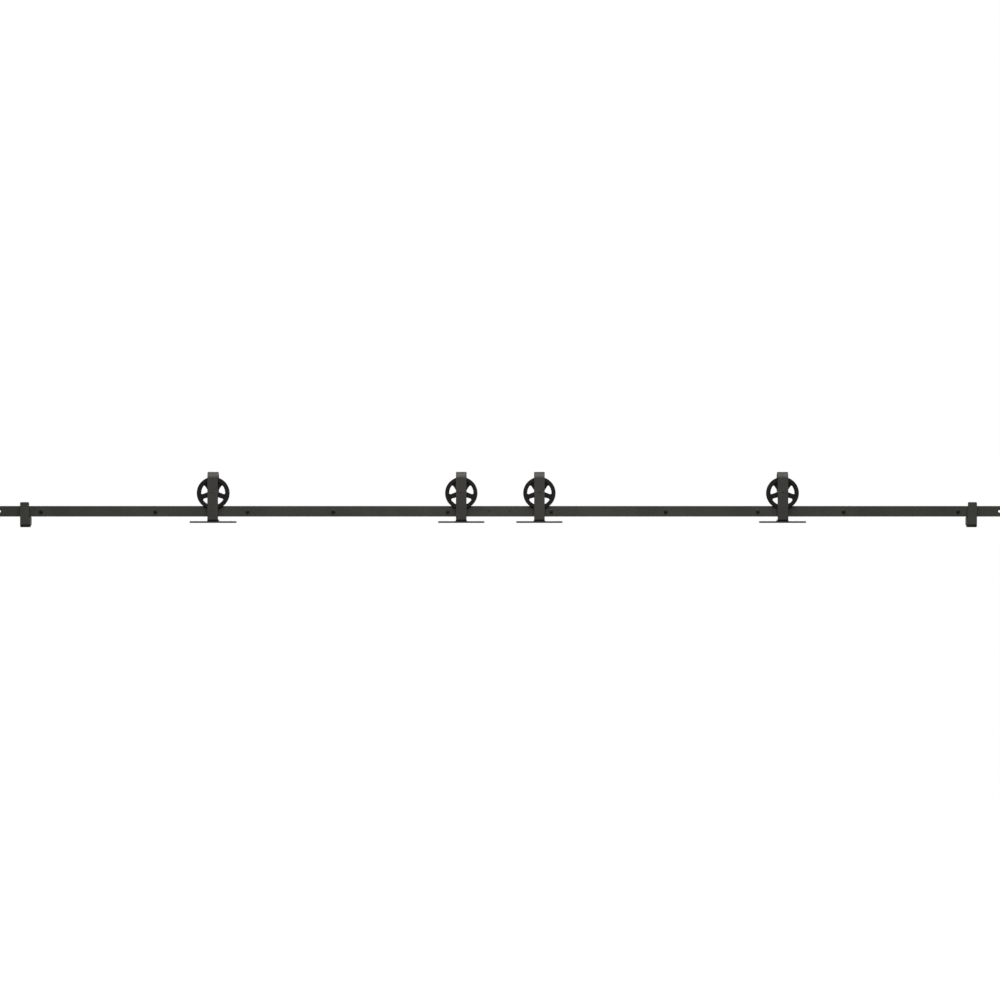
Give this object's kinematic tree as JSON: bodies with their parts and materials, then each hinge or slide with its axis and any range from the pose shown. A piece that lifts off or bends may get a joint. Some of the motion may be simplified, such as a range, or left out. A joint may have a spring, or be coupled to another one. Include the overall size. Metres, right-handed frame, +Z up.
{
  "type": "sliding barn door hardware",
  "caption": "Flat-track sliding door hardware for a pair of doors: wall-spaced rail, top-mount bent-strap hangers with spoked wheels, and rubber-lined end stops.",
  "frame": {"origin": "on the wall plane at the middle of the track, where the two rails meet, at the height of the wall holes", "axes": "+X along the track to the right as seen from the room, +Y into the wall, +Z up"},
  "size_m": [3.6578, 0.1155, 0.1987],
  "materials": {
    "track_powder_coat": "satin",
    "strap_powder_coat": "satin",
    "stop_powder_coat": "satin",
    "cast_wheel": "matte",
    "black_fasteners": "black oxide",
    "bearing_steel": "ground",
    "bright_steel": "zinc plated",
    "buffer_rubber": "matte",
    "pad_nylon": "matte"
  },
  "bodies": {
    "track": {"left_rail": "track_powder_coat", "right_rail": "track_powder_coat", "join_plate": "track_powder_coat", "join_screws": "track_powder_coat", "wall_spacers": "track_powder_coat", "lag_bolts": "black_fasteners", "lag_washers": "track_powder_coat", "left_stop_strap": "stop_powder_coat", "left_stop_buffer": "buffer_rubber", "left_stop_buffer_screw": "black_fasteners", "left_stop_pads": "pad_nylon", "left_stop_set_screws": "black_fasteners", "right_stop_strap": "stop_powder_coat", "right_stop_buffer": "buffer_rubber", "right_stop_buffer_screw": "black_fasteners", "right_stop_pads": "pad_nylon", "right_stop_set_screws": "black_fasteners"},
    "hanger_1": {"strap_1": "strap_powder_coat", "door_plate_1": "strap_powder_coat", "axle_bolt_1": "strap_powder_coat", "axle_nut_1": "black_fasteners", "axle_bushes_1": "bright_steel", "bearing_inner_1": "bearing_steel"},
    "wheel_1": {"wheel_1": "cast_wheel", "bearing_outer_1": "bearing_steel", "bearing_balls_1": "bearing_steel", "bearing_circlip_1": "black_fasteners"},
    "hanger_2": {"strap_2": "strap_powder_coat", "door_plate_2": "strap_powder_coat", "axle_bolt_2": "strap_powder_coat", "axle_nut_2": "black_fasteners", "axle_bushes_2": "bright_steel", "bearing_inner_2": "bearing_steel"},
    "wheel_2": {"wheel_2": "cast_wheel", "bearing_outer_2": "bearing_steel", "bearing_balls_2": "bearing_steel", "bearing_circlip_2": "black_fasteners"},
    "hanger_3": {"strap_3": "strap_powder_coat", "door_plate_3": "strap_powder_coat", "axle_bolt_3": "strap_powder_coat", "axle_nut_3": "black_fasteners", "axle_bushes_3": "bright_steel", "bearing_inner_3": "bearing_steel"},
    "wheel_3": {"wheel_3": "cast_wheel", "bearing_outer_3": "bearing_steel", "bearing_balls_3": "bearing_steel", "bearing_circlip_3": "black_fasteners"},
    "hanger_4": {"strap_4": "strap_powder_coat", "door_plate_4": "strap_powder_coat", "axle_bolt_4": "strap_powder_coat", "axle_nut_4": "black_fasteners", "axle_bushes_4": "bright_steel", "bearing_inner_4": "bearing_steel"},
    "wheel_4": {"wheel_4": "cast_wheel", "bearing_outer_4": "bearing_steel", "bearing_balls_4": "bearing_steel", "bearing_circlip_4": "black_fasteners"}
  },
  "joints": [
    {"name": "hanger_slide_1", "type": "slide", "parent": "track", "child": "hanger_1", "axis": [1, 0, 0], "range_m": [-0.571, 0.05]},
    {"name": "wheel_turn_1", "type": "hinge", "parent": "hanger_1", "child": "wheel_1", "pos_m": [-1.027, -0.041, 0.0652], "axis": [0, 1, 0], "continuous": true},
    {"name": "hanger_slide_2", "type": "slide", "parent": "track", "child": "hanger_2", "axis": [1, 0, 0], "range_m": [-0.571, 0.05]},
    {"name": "wheel_turn_2", "type": "hinge", "parent": "hanger_2", "child": "wheel_2", "pos_m": [-0.137, -0.041, 0.0652], "axis": [0, 1, 0], "continuous": true},
    {"name": "hanger_slide_3", "type": "slide", "parent": "track", "child": "hanger_3", "axis": [1, 0, 0], "range_m": [-0.05, 0.576]},
    {"name": "wheel_turn_3", "type": "hinge", "parent": "hanger_3", "child": "wheel_3", "pos_m": [0.143, -0.041, 0.0652], "axis": [0, 1, 0], "continuous": true},
    {"name": "hanger_slide_4", "type": "slide", "parent": "track", "child": "hanger_4", "axis": [1, 0, 0], "range_m": [-0.05, 0.576]},
    {"name": "wheel_turn_4", "type": "hinge", "parent": "hanger_4", "child": "wheel_4", "pos_m": [1.015, -0.041, 0.0652], "axis": [0, 1, 0], "continuous": true}
  ],
  "couplings": [
    {"joint": "wheel_turn_1", "follows": "hanger_slide_1", "rad_per_m": 21.739},
    {"joint": "wheel_turn_2", "follows": "hanger_slide_2", "rad_per_m": 21.739},
    {"joint": "wheel_turn_3", "follows": "hanger_slide_3", "rad_per_m": 21.739},
    {"joint": "wheel_turn_4", "follows": "hanger_slide_4", "rad_per_m": 21.739}
  ]
}
